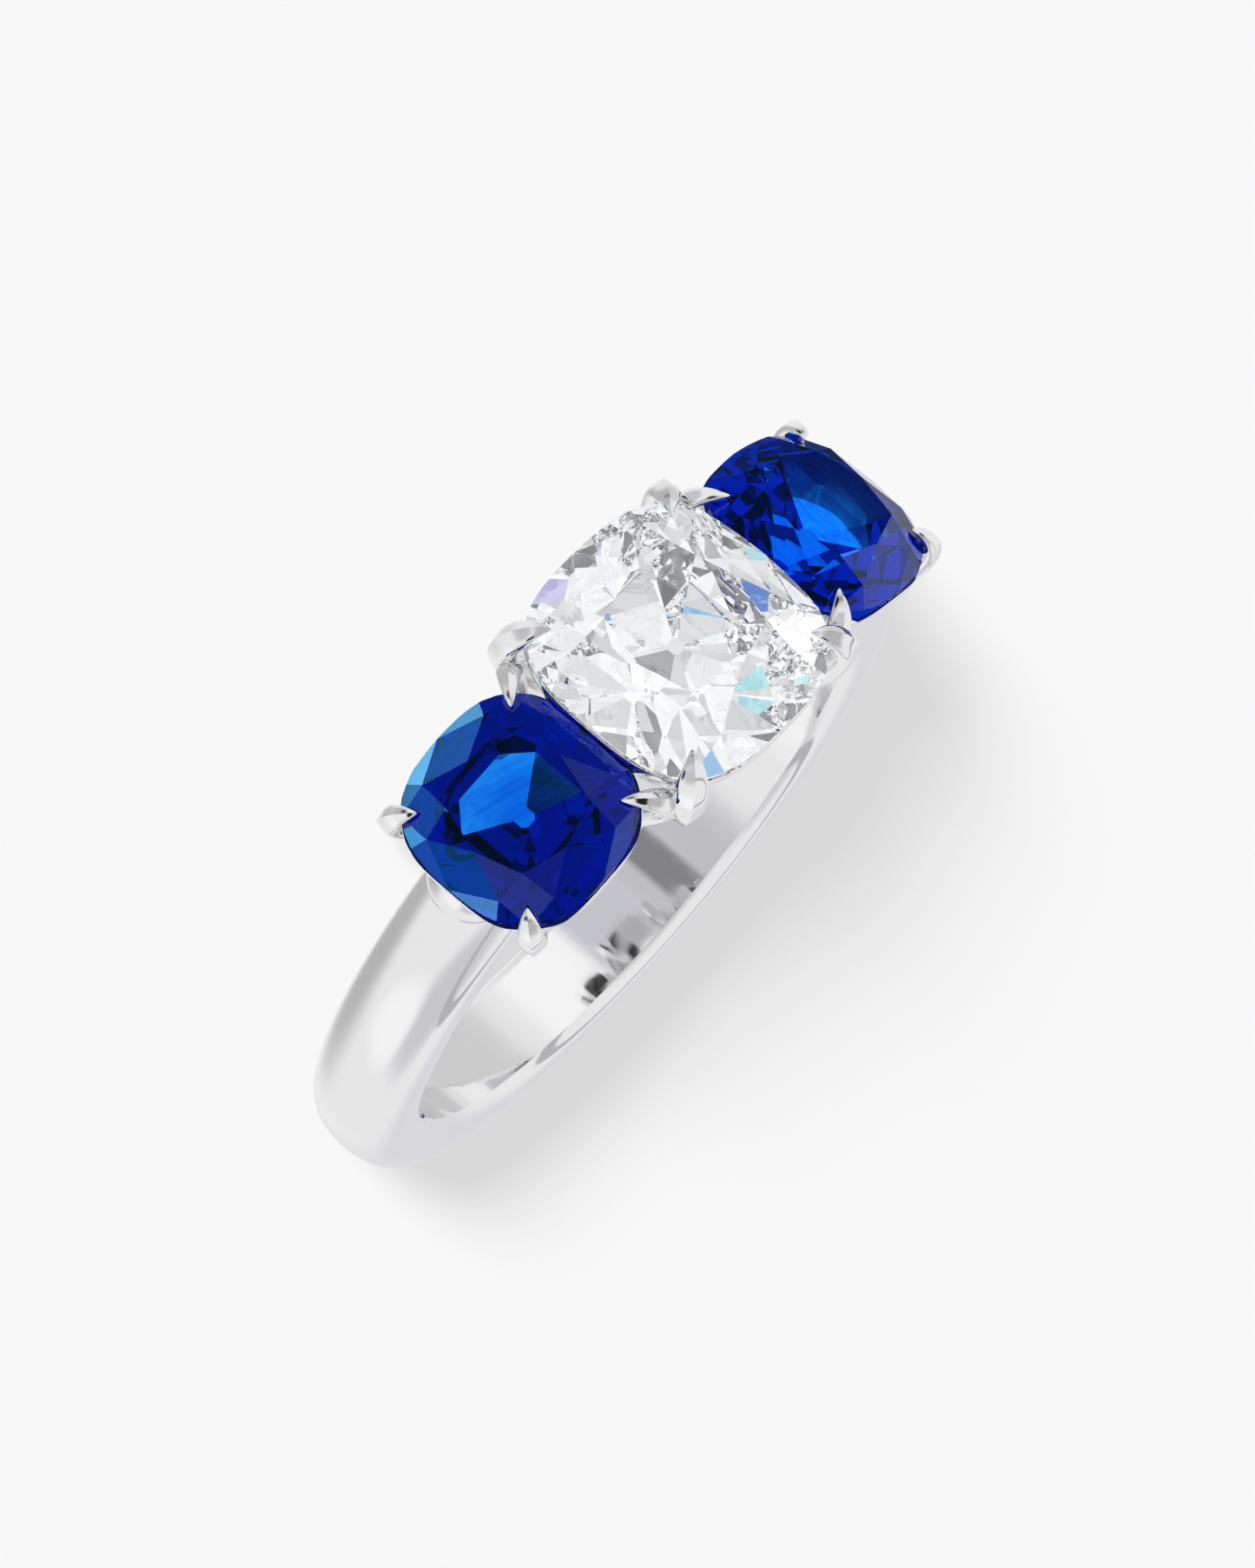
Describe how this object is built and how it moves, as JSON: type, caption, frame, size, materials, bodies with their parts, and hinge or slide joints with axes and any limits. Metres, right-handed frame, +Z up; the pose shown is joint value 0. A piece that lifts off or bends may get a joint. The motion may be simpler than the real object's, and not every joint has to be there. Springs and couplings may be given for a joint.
{
  "type": "sapphire and diamond ring",
  "caption": "Three-stone finger ring: a cushion-cut diamond between two cushion-cut sapphires, held by tapered claws in tapered cups on a smooth rounded band, lying on its side.",
  "frame": {"origin": "centre of the finger hole", "axes": "+Z up as the ring lies on its side, with the finger hole's axis leaning 5.9 degrees from Z towards +Y; +X along the row of stones; the stones face -Y"},
  "size_m": [0.021, 0.0233, 0.0071],
  "materials": {
    "white_metal": "polished",
    "diamond": "polished",
    "sapphire": "polished"
  },
  "bodies": {
    "root": {"ring_mount": "white_metal", "centre_diamond": "diamond", "left_sapphire": "sapphire", "right_sapphire": "sapphire"}
  },
  "joints": []
}
